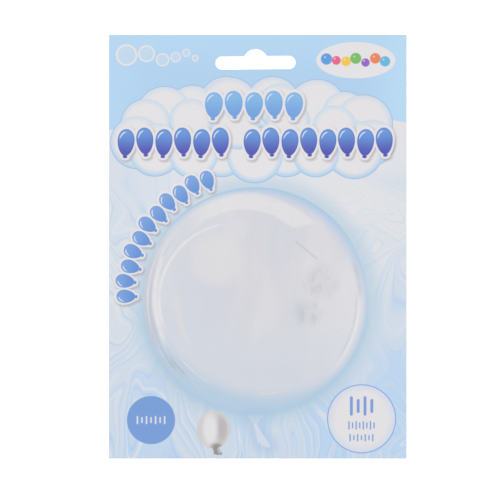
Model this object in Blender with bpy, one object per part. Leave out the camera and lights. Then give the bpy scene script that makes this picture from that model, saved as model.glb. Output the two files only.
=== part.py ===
"""Sealed retail packet for one balloon, lying on its back.

Metres, +Z up. The packet lies flat: its printed front faces +Z, its hang slot is
towards +Y, and the origin is the middle of the underside.
"""
import math

import bpy
import bmesh

# Outline of the packet
PACKET_WIDTH = 0.118
PACKET_HEIGHT = 0.168
EDGE_THICKNESS = 0.0006

# Swell of the front over the folded balloon
SWELL_RISE = 0.0026
SIDE_BORDER = 0.0035
FOOT_BORDER = 0.0045
HEADER_HEIGHT = 0.034
SIDE_FALLOFF = 0.0360
FOOT_FALLOFF = 0.0460
HEAD_FALLOFF = 0.0440

# Hang slot of the rounded-bar and hump kind
SLOT_LENGTH = 0.0321
SLOT_BAR = 0.0055
SLOT_DROP = 0.0111
SLOT_SHIFT = -0.0009
SLOT_TILT_DEG = 0.55
HUMP_RISE = 0.00277
HUMP_RADIUS = 0.0049
HUMP_FILLET = 0.0008

# Facets
COLUMN_STEP = 0.0034
ROW_STEP = 0.0036
ARC_STEPS = 10


def clear_scene():
    """Remove every object and mesh."""
    for obj in list(bpy.data.objects):
        bpy.data.objects.remove(obj, do_unlink=True)
    for mesh in list(bpy.data.meshes):
        bpy.data.meshes.remove(mesh)


def smooth(value):
    """Ease a value from 0 to 1 with level ends."""
    value = max(0.0, min(1.0, value))
    return value * value * value * (value * (value * 6.0 - 15.0) + 10.0)


def swell(x, y):
    """Height of the front above the edge thickness at one point."""
    side = PACKET_WIDTH / 2 - SIDE_BORDER - abs(x)
    foot = y + PACKET_HEIGHT / 2 - FOOT_BORDER
    head = PACKET_HEIGHT / 2 - HEADER_HEIGHT - y
    across = smooth(side / SIDE_FALLOFF)
    along = smooth(foot / FOOT_FALLOFF) * smooth(head / HEAD_FALLOFF)
    return SWELL_RISE * across * along


def grid_lines(low, high, step):
    """Evenly spaced values from low to high, both included."""
    count = max(2, int(round((high - low) / step)))
    return [low + (high - low) * i / count for i in range(count + 1)]


def column_lines():
    """X of the grid's columns."""
    edge = PACKET_WIDTH / 2
    inner = grid_lines(-edge + SIDE_BORDER, edge - SIDE_BORDER, COLUMN_STEP)
    return [-edge] + inner + [edge]


def row_lines():
    """Y of the grid's rows."""
    edge = PACKET_HEIGHT / 2
    inner = grid_lines(-edge + FOOT_BORDER, edge - HEADER_HEIGHT, ROW_STEP)
    return [-edge] + inner + [edge]


def plain_material(name, color, roughness):
    """A single-colour material."""
    material = bpy.data.materials.new(name)
    material.use_nodes = True
    shader = material.node_tree.nodes["Principled BSDF"]
    shader.inputs["Base Color"].default_value = color
    shader.inputs["Roughness"].default_value = roughness
    return material


def closed_object(name, bm, material=None):
    """Turn a bmesh into an object with outward faces."""
    bmesh.ops.recalc_face_normals(bm, faces=bm.faces[:])
    mesh = bpy.data.meshes.new(name)
    bm.to_mesh(mesh)
    bm.free()
    obj = bpy.data.objects.new(name, mesh)
    bpy.context.scene.collection.objects.link(obj)
    if material is not None:
        mesh.materials.append(material)
    return obj


def packet_body(material):
    """The sealed pouch: flat back, thin edge and a low swell on the front."""
    xs = column_lines()
    ys = row_lines()
    bm = bmesh.new()
    front = []
    for y in ys:
        front.append([bm.verts.new((x, y, EDGE_THICKNESS + swell(x, y))) for x in xs])
    last_row = len(ys) - 1
    last_column = len(xs) - 1
    for j in range(last_row):
        for i in range(last_column):
            quad = (front[j][i], front[j][i + 1], front[j + 1][i + 1], front[j + 1][i])
            bm.faces.new(quad)
    ring = [front[0][i] for i in range(last_column)]
    ring += [front[j][last_column] for j in range(last_row)]
    ring += [front[last_row][i] for i in range(last_column, 0, -1)]
    ring += [front[j][0] for j in range(last_row, 0, -1)]
    under = [bm.verts.new((v.co.x, v.co.y, 0.0)) for v in ring]
    for k in range(len(ring)):
        n = (k + 1) % len(ring)
        bm.faces.new((ring[k], under[k], under[n], ring[n]))
    bm.faces.new(under)
    return closed_object("packet", bm, material)


def arc_points(center_x, center_y, radius, start, end):
    """Points on an arc from start to end, both included."""
    points = []
    for step in range(ARC_STEPS + 1):
        angle = start + (end - start) * step / ARC_STEPS
        points.append((center_x + radius * math.cos(angle), center_y + radius * math.sin(angle)))
    return points


def slot_outline():
    """The slot's outline about the middle of its bar, anticlockwise."""
    half_bar = SLOT_BAR / 2
    end_x = SLOT_LENGTH / 2 - half_bar
    hump_y = half_bar + HUMP_RISE - HUMP_RADIUS
    fillet_y = half_bar + HUMP_FILLET
    reach = HUMP_RADIUS + HUMP_FILLET
    drop = fillet_y - hump_y
    fillet_x = math.sqrt(max(reach * reach - drop * drop, 1e-8))
    lean = math.atan2(drop, fillet_x)
    points = arc_points(end_x, 0.0, half_bar, -math.pi / 2, math.pi / 2)
    points += arc_points(fillet_x, fillet_y, HUMP_FILLET, -math.pi / 2, -math.pi + lean)
    points += arc_points(0.0, hump_y, HUMP_RADIUS, lean, math.pi - lean)[1:-1]
    points += arc_points(-fillet_x, fillet_y, HUMP_FILLET, -lean, -math.pi / 2)
    points += arc_points(-end_x, 0.0, half_bar, math.pi / 2, 3 * math.pi / 2)
    return points


def slot_cutter():
    """A prism of the slot's outline, a little proud of both faces."""
    tilt = math.radians(SLOT_TILT_DEG)
    middle_y = PACKET_HEIGHT / 2 - SLOT_DROP
    bm = bmesh.new()
    low = []
    high = []
    for x, y in slot_outline():
        px = SLOT_SHIFT + x * math.cos(tilt) - y * math.sin(tilt)
        py = middle_y + x * math.sin(tilt) + y * math.cos(tilt)
        low.append(bm.verts.new((px, py, -0.002)))
        high.append(bm.verts.new((px, py, EDGE_THICKNESS + SWELL_RISE + 0.002)))
    count = len(low)
    bm.faces.new(high)
    bm.faces.new(list(reversed(low)))
    for k in range(count):
        n = (k + 1) % count
        bm.faces.new((low[k], low[n], high[n], high[k]))
    cutter = closed_object("slot_cutter", bm)
    cutter.hide_render = True
    cutter.display_type = "WIRE"
    return cutter


def cut_slot(body, cutter):
    """Punch the slot through the header."""
    modifier = body.modifiers.new("hang_slot", "BOOLEAN")
    modifier.operation = "DIFFERENCE"
    modifier.solver = "EXACT"
    modifier.object = cutter


def main():
    """Build the packet."""
    clear_scene()
    print_stock = plain_material("print_stock", (0.62, 0.75, 0.88, 1.0), 0.45)
    body = packet_body(print_stock)
    cut_slot(body, slot_cutter())


main()
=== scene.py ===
"""Looks of a sealed, printed balloon packet lying on its back.

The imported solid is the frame. Two thin panels with a procedural print stand for it:
a front panel that swells over the folded balloon, and a flat back panel with a lap.
Shapes are in metres. The print is laid out in millimetres from the packet's middle.
"""
import logging
import math
from collections.abc import Callable, Iterable
from dataclasses import dataclass
from enum import Enum
from functools import reduce

import bmesh
import bpy
import numpy as np
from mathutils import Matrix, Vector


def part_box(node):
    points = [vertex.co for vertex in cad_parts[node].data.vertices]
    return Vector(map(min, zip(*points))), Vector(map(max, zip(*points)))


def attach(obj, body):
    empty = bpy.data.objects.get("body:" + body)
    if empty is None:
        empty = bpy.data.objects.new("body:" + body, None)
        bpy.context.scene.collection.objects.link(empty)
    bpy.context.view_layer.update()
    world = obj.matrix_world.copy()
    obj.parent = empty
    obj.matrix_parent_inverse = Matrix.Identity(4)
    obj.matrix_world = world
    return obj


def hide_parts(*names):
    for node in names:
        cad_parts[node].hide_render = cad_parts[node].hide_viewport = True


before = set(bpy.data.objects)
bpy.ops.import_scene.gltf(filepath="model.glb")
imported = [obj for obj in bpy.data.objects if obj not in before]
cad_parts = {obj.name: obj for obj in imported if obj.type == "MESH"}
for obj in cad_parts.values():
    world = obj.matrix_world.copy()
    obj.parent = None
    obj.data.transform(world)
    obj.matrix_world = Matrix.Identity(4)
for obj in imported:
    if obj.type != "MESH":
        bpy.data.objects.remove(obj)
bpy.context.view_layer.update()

Spot = tuple[float, float]
Stretch = tuple[float, float, float]
Socket = bpy.types.NodeSocket
BAKE_MAP = "OFBake"
PAGE_UNITS = (1000.0, 1000.0, 0.0)

log = logging.getLogger("packet")


def linear(value: float) -> float:
    """Turn one 0 to 255 display value into linear light by the sRGB curve."""
    share = value / 255.0
    return share / 12.92 if share <= 0.04045 else ((share + 0.055) / 1.055) ** 2.4


def moved(spot: Spot, shift: Spot) -> Spot:
    """A spot moved by a shift."""
    return (spot[0] + shift[0], spot[1] + shift[1])


def bent(value: float, power: float) -> float:
    """A value raised to a power, with its sign kept."""
    return math.copysign(abs(value) ** power, value)


@dataclass(frozen=True)
class Ink:
    """A printed colour, given as it looks under the studio's light."""

    red: float
    green: float
    blue: float
    studio_level: float = 1.1
    brightest: float = 0.98

    def rgba(self) -> tuple[float, float, float, float]:
        """The ink's own colour for a shader socket."""
        values = (self.red, self.green, self.blue)
        return (*(min(self.brightest, linear(v) / self.studio_level) for v in values), 1.0)


class Num:
    """A number socket in a node tree, with Python's operators."""

    def __init__(self, tree: "ShaderTree", socket: Socket) -> None:
        """Wrap a socket of a tree."""
        self.tree = tree
        self.socket = socket

    def __add__(self, other: "Num | float") -> "Num":
        """Sum."""
        return self.tree.math("ADD", self, other)

    __radd__ = __add__

    def __sub__(self, other: "Num | float") -> "Num":
        """Difference."""
        return self.tree.math("SUBTRACT", self, other)

    def __rsub__(self, other: float) -> "Num":
        """Difference with the number first."""
        return self.tree.math("SUBTRACT", other, self)

    def __mul__(self, other: "Num | float") -> "Num":
        """Product."""
        return self.tree.math("MULTIPLY", self, other)

    __rmul__ = __mul__

    def __truediv__(self, other: "Num | float") -> "Num":
        """Quotient."""
        return self.tree.math("DIVIDE", self, other)

    def __neg__(self) -> "Num":
        """The same size with the other sign."""
        return self.tree.math("MULTIPLY", self, -1.0)

    def __abs__(self) -> "Num":
        """Size without sign."""
        return self.tree.math("ABSOLUTE", self)

    def least(self, other: "Num | float") -> "Num":
        """The smaller of two."""
        return self.tree.math("MINIMUM", self, other)

    def most(self, other: "Num | float") -> "Num":
        """The larger of two."""
        return self.tree.math("MAXIMUM", self, other)

    def ease(self, start: float, end: float, low: float = 0.0, high: float = 1.0) -> "Num":
        """Go smoothly from one level to another while this number crosses a range.

        Args:
            start: Where the low level ends; it may lie above the end.
            end: Where the high level begins.
            low: Level on the side of the start.
            high: Level on the side of the end.

        Returns:
            The eased number.
        """
        settings = {"interpolation_type": "SMOOTHSTEP"}
        inputs = {"Value": self, "From Min": start, "From Max": end, "To Min": low, "To Max": high}
        node = self.tree.node("ShaderNodeMapRange", settings, inputs)
        return Num(self.tree, node.outputs["Result"])

    def inside(self, soft: float = 0.3) -> "Num":
        """1 where a signed distance is negative, with a soft edge in millimetres."""
        return self.ease(soft / 2, -soft / 2)

    def band(self, half: float, soft: float = 0.3) -> "Num":
        """1 where a signed distance is within half of 0, with soft sides."""
        return abs(self).ease(half + soft / 2, half - soft / 2)


def nearest(gaps: Iterable[Num]) -> Num:
    """The smallest of several signed distances."""
    return reduce(Num.least, gaps)


class ShaderTree:
    """A material's nodes, with number, point and colour sums."""

    def __init__(self, name: str) -> None:
        """Start a material with one Principled shader.

        Args:
            name: The material's name.
        """
        self.material = bpy.data.materials.new(name)
        self.material.use_nodes = True
        self.nodes = self.material.node_tree.nodes
        self.links = self.material.node_tree.links
        self.shader = self.nodes["Principled BSDF"]

    def put(self, target: Socket, value: object) -> None:
        """Link or set one input socket.

        Args:
            target: The input socket.
            value: A number, an ink, a socket or a plain value.
        """
        if isinstance(value, Num):
            value = value.socket
        if isinstance(value, Ink):
            value = value.rgba()
        if isinstance(value, bpy.types.NodeSocket):
            self.links.new(value, target)
        else:
            target.default_value = value

    def node(self, kind: str, settings: dict | None = None, inputs: dict | None = None) -> bpy.types.Node:
        """Add any node.

        Args:
            kind: The node's type.
            settings: Properties that are set first.
            inputs: Values or links by socket name or index.

        Returns:
            The new node.
        """
        made = self.nodes.new(kind)
        for name, value in (settings or {}).items():
            setattr(made, name, value)
        for key, value in (inputs or {}).items():
            self.put(made.inputs[key], value)
        return made

    def math(self, operation: str, *values: "Num | float") -> Num:
        """One Math node on numbers."""
        made = self.node("ShaderNodeMath", {"operation": operation}, dict(enumerate(values)))
        return Num(self, made.outputs[0])

    def vector(self, operation: str, *values: object) -> Socket:
        """One Vector Math node that gives a vector."""
        made = self.node("ShaderNodeVectorMath", {"operation": operation}, dict(enumerate(values)))
        return made.outputs["Vector"]

    def measure(self, operation: str, *values: object) -> Num:
        """One Vector Math node that gives a number."""
        made = self.node("ShaderNodeVectorMath", {"operation": operation}, dict(enumerate(values)))
        return Num(self, made.outputs["Value"])

    def split(self, point: Socket) -> tuple[Num, Num]:
        """The first two parts of a vector."""
        made = self.node("ShaderNodeSeparateXYZ", inputs={0: point})
        return Num(self, made.outputs[0]), Num(self, made.outputs[1])

    def join(self, across: Num, along: Num) -> Socket:
        """A flat vector from two numbers."""
        return self.node("ShaderNodeCombineXYZ", inputs={0: across, 1: along}).outputs[0]

    def blend(self, under: object, over: object, share: "Num | float") -> Socket:
        """Mix two colours by a share from 0 to 1."""
        made = self.node("ShaderNodeMix", {"data_type": "RGBA"}, {0: share, 6: under, 7: over})
        return made.outputs[2]

    def object_point(self) -> Socket:
        """The place on the piece, in metres."""
        return self.node("ShaderNodeTexCoord").outputs["Object"]

    def page_point(self) -> Socket:
        """The place on the printed page, in millimetres."""
        return self.vector("MULTIPLY", self.object_point(), PAGE_UNITS)

    def noise(self, point: Socket, scale: float, detail: float = 2.0, twist: float = 0.0) -> bpy.types.Node:
        """A noise node at a scale."""
        inputs = {"Vector": point, "Scale": scale, "Detail": detail, "Distortion": twist}
        return self.node("ShaderNodeTexNoise", inputs=inputs)

    def noise_value(self, point: Socket, scale: float, detail: float = 2.0, twist: float = 0.0) -> Num:
        """A noise number near 0.5."""
        return Num(self, self.noise(point, scale, detail, twist).outputs[0])

    def cell(self, value: Num, count: int) -> Num:
        """The number of the cell that a value falls in, from 0 to one less than the count."""
        return self.math("FLOOR", value).most(0.0).least(count - 1.0)

    def odd(self, index: Num) -> Num:
        """1 for an odd number and 0 for an even one."""
        return self.math("FLOORED_MODULO", index, 2.0)

    def away(self, point: Socket, middle: Spot) -> Socket:
        """The way from a spot to the point."""
        return self.vector("SUBTRACT", point, (*middle, 0.0))

    def toward(self, offset: Socket, degrees: float) -> Num:
        """How far an offset reaches in a direction, given in degrees from the right."""
        turn = math.radians(degrees)
        return self.measure("DOT_PRODUCT", offset, (math.cos(turn), math.sin(turn), 0.0))

    def circle(self, point: Socket, middle: Spot, radius: float) -> Num:
        """Signed distance to a circle."""
        return self.measure("DISTANCE", point, (*middle, 0.0)) - radius

    def oval(self, point: Socket, middle: Spot, half: Spot) -> Num:
        """Signed distance, nearly, to an upright oval.

        Args:
            point: The place on the page.
            middle: The oval's middle.
            half: Half of its width and of its height.

        Returns:
            The distance, negative inside.
        """
        local = self.away(point, middle)
        unit = self.vector("MULTIPLY", local, (1 / half[0], 1 / half[1], 0.0))
        return (self.measure("LENGTH", unit) - 1.0) * min(half)

    def stroke(self, point: Socket, start: Spot, end: Spot, radius: float) -> Num:
        """Signed distance to a round-ended stroke.

        Args:
            point: The place on the page.
            start: Middle of the first end.
            end: Middle of the other end, which isn't the same spot.
            radius: Half of the stroke's width.

        Returns:
            The distance, negative inside.
        """
        span = (end[0] - start[0], end[1] - start[1], 0.0)
        local = self.away(point, start)
        reach = 1.0 / (span[0] ** 2 + span[1] ** 2)
        scaled = tuple(part * reach for part in span)
        share = self.measure("DOT_PRODUCT", local, scaled).most(0.0).least(1.0)
        scale = self.node("ShaderNodeVectorMath", {"operation": "SCALE"}, {0: span, "Scale": share})
        return self.measure("DISTANCE", local, scale.outputs["Vector"]) - radius

    def oblong(self, point: Socket, middle: Spot, half: Spot, corner: float) -> Num:
        """Signed distance to a rectangle with round corners.

        Args:
            point: The place on the page.
            middle: The rectangle's middle.
            half: Half of its width and of its height.
            corner: Radius of its corners.

        Returns:
            The distance, negative inside.
        """
        local = self.vector("ABSOLUTE", self.away(point, middle))
        beyond = self.vector("SUBTRACT", local, (half[0] - corner, half[1] - corner, 0.0))
        outer = self.measure("LENGTH", self.vector("MAXIMUM", beyond, (0.0, 0.0, 0.0)))
        across, along = self.split(beyond)
        return outer + across.most(along).least(0.0) - corner

    def dress(self, values: dict[str, object]) -> None:
        """Feed the shader's inputs by name."""
        for name, value in values.items():
            self.put(self.shader.inputs[name], value)

    def bump(self, height: Num, strength: float, depth: float) -> None:
        """Feed the shader's normal from a height.

        Args:
            height: The relief, near 0 to 1.
            strength: How strongly it bends the light.
            depth: Its depth in metres.
        """
        inputs = {"Strength": strength, "Distance": depth, "Height": height}
        made = self.node("ShaderNodeBump", inputs=inputs)
        self.dress({"Normal": made.outputs["Normal"]})


@dataclass(frozen=True)
class Fade:
    """How strongly paint lies: the least at start, and its share more at end."""

    start: float
    end: float
    share: float = 1.0
    least: float = 0.0

    def over(self, value: Num) -> Num:
        """The paint's strength at a value, such as a signed distance."""
        return value.ease(self.start, self.end, self.least, self.least + self.share)


@dataclass(frozen=True)
class Wash:
    """An ink and how it fades in."""

    ink: Ink
    fade: Fade

    def over(self, tree: ShaderTree, under: object, value: Num) -> Socket:
        """The colour under, with this wash over it."""
        return tree.blend(under, self.ink, self.fade.over(value))


class Page:
    """A print that is painted layer over layer."""

    def __init__(self, tree: ShaderTree, point: Socket, ground: object) -> None:
        """Start with a ground colour.

        Args:
            tree: The print's nodes.
            point: The place on the page, in millimetres.
            ground: The colour of the empty page.
        """
        self.tree = tree
        self.point = point
        self.color = ground

    def lay(self, ink: object, share: "Num | float") -> None:
        """Paint an ink over what is there."""
        self.color = self.tree.blend(self.color, ink, share)

    def wash(self, wash: Wash, value: Num, *masks: Num) -> None:
        """Paint a wash over what is there.

        Args:
            wash: The ink and its fade.
            value: The number that the fade follows.
            masks: Numbers from 0 to 1 that bound the wash.
        """
        share = wash.fade.over(value)
        for mask in masks:
            share = share * mask
        self.lay(wash.ink, share)


@dataclass(frozen=True)
class Noise:
    """A noise pattern: how it is stretched, its scale, its detail and its twist."""

    scale: float
    detail: float = 2.0
    twist: float = 0.0
    stretch: Stretch = (1.0, 1.0, 1.0)

    def over(self, tree: ShaderTree, point: Socket) -> Num:
        """The pattern's number at a point."""
        stretched = tree.vector("MULTIPLY", point, self.stretch)
        return tree.noise_value(stretched, self.scale, self.detail, self.twist)


@dataclass(frozen=True)
class SoftOval:
    """A soft oval of ink, placed from its motif's middle."""

    shift: Spot
    half: Spot
    wash: Wash

    def paint(self, page: Page, middle: Spot, mask: Num) -> None:
        """Paint the oval within a mask."""
        page.wash(self.wash, page.tree.oval(page.point, moved(middle, self.shift), self.half), mask)


@dataclass(frozen=True)
class Limb:
    """A round-ended stroke, placed from its motif's middle."""

    start: Spot
    end: Spot
    radius: float

    def gap(self, page: Page, middle: Spot) -> Num:
        """Signed distance to the stroke."""
        start, end = moved(middle, self.start), moved(middle, self.end)
        return page.tree.stroke(page.point, start, end, self.radius)


@dataclass(frozen=True)
class StrokeRow:
    """A row of short upright strokes, every other one shorter, placed from its motif's middle."""

    start: float
    level: float
    pitch: float
    count: int
    half: float
    tall: float
    short: float

    def gap(self, page: Page, middle: Spot) -> Num:
        """Signed distance to the nearest stroke.

        Args:
            page: The print.
            middle: The motif's middle.

        Returns:
            The distance, negative inside.
        """
        tree = page.tree
        start, level = moved(middle, (self.start, self.level))
        across, along = tree.split(page.point)
        index = tree.cell((across - start) / self.pitch, self.count)
        aside = across - (index + 0.5) * self.pitch - start
        ahead = (abs(along - level) + tree.odd(index) * self.short - self.tall).most(0.0)
        return tree.measure("LENGTH", tree.join(aside, ahead)) - self.half


WHITE = Ink(231, 229, 231)
SHADOW = Ink(172, 164, 166)
GLOSS = Ink(231, 230, 233)
SPHERE_GREY = Ink(200, 201, 210)
SPHERE_BEIGE = Ink(228, 221, 217)
STRAND_GREY = Ink(178, 187, 194)


@dataclass(frozen=True)
class Marbling:
    """Pale flowing paint with fine veins, bluer towards the foot and the right."""

    pale: Ink = Ink(228, 229, 233)
    middle: Wash = Wash(Ink(209, 221, 236), Fade(-0.1, 0.45))
    deep: Wash = Wash(Ink(190, 216, 243), Fade(0.36, 0.95))
    vein: Wash = Wash(Ink(176, 209, 240), Fade(0.14, 0.0))
    light: Wash = Wash(Ink(229, 232, 237), Fade(0.16, 0.0, 0.9))
    light_shift: float = 0.36
    drift: Spot = (64.0, 96.0)
    drift_scale: float = 0.013
    curl: Spot = (15.0, 15.0)
    curl_scale: float = 0.045
    swirl: Noise = Noise(0.021, 1.5)
    upright: Noise = Noise(0.05, 1.5, stretch=(1.0, 0.24, 0.0))
    bands: float = 25.0
    low: Fade = Fade(30.0, -80.0)
    foot: Fade = Fade(-44.0, -62.0)
    sides: Fade = Fade(20.0, 56.0)
    below_header: Fade = Fade(36.0, 0.0)
    right: Fade = Fade(8.0, 50.0)
    right_deeper: Fade = Fade(-34.0, -46.0, 0.28)
    right_paler: Fade = Fade(12.0, -10.0, 0.17)
    depth_low: float = 0.57
    depth_flow: float = 1.1
    tone_low: float = 0.25
    tone_stirred: float = 0.1
    tone_least: float = 0.05
    veins_stirred: float = 0.48
    veins_low: float = 0.18
    veins_least: float = 0.08
    veins_by_tone: Spot = (0.7, 0.3)
    veins_left: Fade = Fade(36.0, -10.0, 0.35, 0.95)
    calm_middle: Spot = (49.0, -46.0)
    calm: Fade = Fade(20.0, 9.0, -0.8, 1.0)

    def pushed(self, tree: ShaderTree, point: Socket, scale: float, reach: Spot) -> Socket:
        """Push a point about by noise.

        Args:
            tree: The print's nodes.
            point: The place on the page.
            scale: The noise's scale.
            reach: How far it pushes across and along.

        Returns:
            The pushed point.
        """
        noise = tree.noise(point, scale, 1.0).outputs["Color"]
        push = tree.vector("SUBTRACT", noise, (0.5, 0.5, 0.5))
        return tree.vector("ADD", point, tree.vector("MULTIPLY", push, (*reach, 0.0)))

    def flow(self, tree: ShaderTree, point: Socket, foot: Num) -> Num:
        """A stirred height whose level lines are the paint's streaks.

        Args:
            tree: The print's nodes.
            point: The place on the page.
            foot: 1 at the foot, where the streaks run upright.

        Returns:
            A number near 0.5.
        """
        point = self.pushed(tree, point, self.drift_scale, self.drift)
        point = self.pushed(tree, point, self.curl_scale, self.curl)
        swirled = self.swirl.over(tree, point)
        upright = self.upright.over(tree, point)
        return swirled + (upright - swirled) * foot

    def depth(self, tree: ShaderTree, point: Socket, flow: Num, tone: Num, stirred: Num) -> Num:
        """How deep the blue is at a point of the page.

        Args:
            tree: The print's nodes.
            point: The place on the page.
            flow: The stirred height.
            tone: The streak's own number from 0 to 1.
            stirred: 1 where the paint is stirred most.

        Returns:
            A number, 0 where the paint is pale and 1 where it is deepest.
        """
        across, along = tree.split(point)
        low = self.low.over(along)
        right = self.right.over(across) * (self.right_deeper.over(along) - self.right_paler.over(along))
        by_tone = low * self.tone_low + stirred * self.tone_stirred + self.tone_least
        return low * self.depth_low + right + (flow - 0.5) * self.depth_flow + (tone - 0.5) * by_tone

    def veins(self, tree: ShaderTree, point: Socket, tone: Num, stirred: Num) -> Num:
        """How strongly the veins show at a point of the page.

        Args:
            tree: The print's nodes.
            point: The place on the page.
            tone: The streak's own number from 0 to 1.
            stirred: 1 where the paint is stirred most.

        Returns:
            A number from 0 to about 1.
        """
        across, along = tree.split(point)
        strong = stirred.most(self.foot.over(along)) * self.veins_stirred
        share = strong + self.low.over(along) * self.veins_low + self.veins_least
        by_tone, least = self.veins_by_tone
        calm = self.calm.over(tree.circle(point, self.calm_middle, 0.0))
        return share * (tone * by_tone + least) * self.veins_left.over(across) * calm

    def ground(self, tree: ShaderTree, point: Socket) -> Socket:
        """Colour of the paint at a point of the page.

        Args:
            tree: The print's nodes.
            point: The place on the page.

        Returns:
            A colour socket.
        """
        across, along = tree.split(point)
        stirred = self.below_header.over(along) * self.sides.over(abs(across))
        flow = self.flow(tree, point, self.foot.over(along))
        streak = flow * self.bands
        one_number = {"noise_dimensions": "1D"}
        own = tree.node("ShaderNodeTexWhiteNoise", one_number, {"W": tree.math("FLOOR", streak)})
        tone = Num(tree, own.outputs[0])
        depth = self.depth(tree, point, flow, tone, stirred)
        color = self.deep.over(tree, self.middle.over(tree, self.pale, depth), depth)
        veins = self.veins(tree, point, tone, stirred)
        for wash, shift in ((self.vein, 0.0), (self.light, self.light_shift)):
            edge = tree.math("PINGPONG", streak + shift, 0.5)
            color = tree.blend(color, wash.ink, wash.fade.over(edge) * veins)
        return color


@dataclass(frozen=True)
class Header:
    """The blue field at the head, with a gently waving foot, and painted light that makes it paler towards
    its sides and top.
    """

    level: float = 50.0
    rise: float = 4.0
    wave: float = 22.0
    crest: float = 20.0
    blue: Ink = Ink(177, 211, 241)
    # the paler blue is painted light: the header shows lighter towards its sides and top, where more light
    # falls
    pale: Ink = Ink(187, 220, 247)
    mist: Wash = Wash(WHITE, Fade(-7.0, 0.0, 0.75))
    painted_light_right: Fade = Fade(38.0, 60.0)
    painted_light_left: Fade = Fade(-38.0, -60.0, 0.5)
    painted_light_head: Fade = Fade(66.0, 84.0, 0.6)
    soft: float = 0.35

    def paint(self, page: Page) -> None:
        """Lay a white mist and then the blue, with painted light paler at the sides and top, over the ground.

        Args:
            page: The print.
        """
        tree = page.tree
        across, along = tree.split(page.point)
        foot = tree.math("COSINE", (across - self.crest) / self.wave) * self.rise + self.level
        above = along - foot
        # painted light: the blue turns paler towards the left and right edges and the top
        sides = self.painted_light_right.over(across).most(self.painted_light_left.over(across))
        page.wash(self.mist, above)
        color = tree.blend(self.blue, self.pale, sides.most(self.painted_light_head.over(along)))
        page.lay(color, (-above).inside(self.soft))


@dataclass(frozen=True)
class Puff:
    """One round puff of a bank."""

    x: float
    y: float
    radius: float


@dataclass(frozen=True)
class PuffBank:
    """A bank of overlapping white puffs, set round a flattened oval by a rule."""

    middle: Spot = (-1.2, 46.1)
    half: Spot = (45.2, 9.7)
    spread: float = 0.16
    fullness: Spot = (0.85, 0.6)
    outer: int = 15
    outer_start: float = 0.25
    radius: float = 10.4
    sway: float = 0.13
    sway_turn: float = 2.9
    sway_start: float = 2.0
    crown: tuple[Spot, ...] = ((-12.5, 10.7), (6.0, 10.7))
    crown_radius: float = 10.7
    foot: tuple[Spot, ...] = ((-14.2, -8.9), (11.4, -8.9))
    foot_radius: float = 9.6
    inner: tuple[Spot, ...] = ((-26.5, 3.8), (-8.0, 1.2), (12.0, 3.8), (30.5, 1.2))
    inner_radius: float = 8.8
    rim: Fade = Fade(-2.9, 0.2)
    rim_low: Fade = Fade(0.7, -0.9, 0.55, 0.45)
    rim_ink: Ink = Ink(176, 211, 240)
    line_ink: Ink = Ink(136, 179, 226)
    line_share: float = 0.75
    line_inset: float = 0.05
    line_half: float = 0.15

    def row(self, spots: tuple[Spot, ...], radius: float) -> list[Puff]:
        """Puffs at given places across the page and levels from the bank's middle."""
        return [Puff(x, self.middle[1] + up, radius) for x, up in spots]

    def ring(self) -> list[Puff]:
        """Puffs round the oval, each a little larger or smaller than the last.

        Returns:
            The puffs, anticlockwise from the right.
        """
        made = []
        for step in range(self.outer):
            turn = math.tau * (step + self.outer_start) / self.outer
            right = bent(math.cos(turn), self.fullness[0])
            up = bent(math.sin(turn), self.fullness[1])
            x = self.middle[0] + self.half[0] * right * (1.0 - self.spread * up)
            swell = self.sway * math.sin(self.sway_turn * step + self.sway_start)
            made.append(Puff(x, self.middle[1] + self.half[1] * up, self.radius * (1.0 + swell)))
        return made

    def puffs(self) -> list[Puff]:
        """Every puff of the bank.

        Returns:
            The puffs, the ones behind first.
        """
        behind = self.row(self.crown, self.crown_radius) + self.row(self.foot, self.foot_radius)
        behind = sorted(behind + self.ring(), key=lambda puff: -puff.y)
        return behind + self.row(self.inner, self.inner_radius)

    def paint(self, page: Page) -> None:
        """Paint each puff over the last, with a blue rim heavier at its foot.

        Args:
            page: The print.
        """
        tree = page.tree
        _, along = tree.split(page.point)
        shade = 0.0
        gaps = []
        for puff in self.puffs():
            gap = tree.circle(page.point, (puff.x, puff.y), puff.radius)
            mask = gap.inside()
            rim = self.rim.over(gap) * self.rim_low.over((along - puff.y) / puff.radius)
            shade = shade * (1.0 - mask) + rim * mask
            gaps.append(gap)
        whole = nearest(gaps)
        page.lay(tree.blend(WHITE, self.rim_ink, shade), whole.inside())
        page.lay(self.line_ink, (whole + self.line_inset).band(self.line_half) * self.line_share)


class Cells:
    """How a string repeats its bead."""

    def local(self, tree: ShaderTree, point: Socket) -> tuple[Num, Num]:
        """Across and along in the nearest cell."""
        raise NotImplementedError


@dataclass(frozen=True)
class RowCells(Cells):
    """Cells side by side in a straight row that bobs up and down."""

    start: float
    level: float
    pitch: float
    count: int
    bob: float = 0.3
    tilt: float = 0.07

    def local(self, tree: ShaderTree, point: Socket) -> tuple[Num, Num]:
        """Across and along in the nearest cell of the row.

        Args:
            tree: The print's nodes.
            point: The place on the page.

        Returns:
            Both distances from the cell's middle.
        """
        across, along = tree.split(point)
        index = tree.cell((across - self.start) / self.pitch, self.count)
        side = tree.odd(index) * 2.0 - 1.0
        x = across - (index + 0.5) * self.pitch - self.start
        y = along - self.level - side * self.bob
        lean = side * self.tilt
        return x + lean * y, y - lean * x


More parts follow.
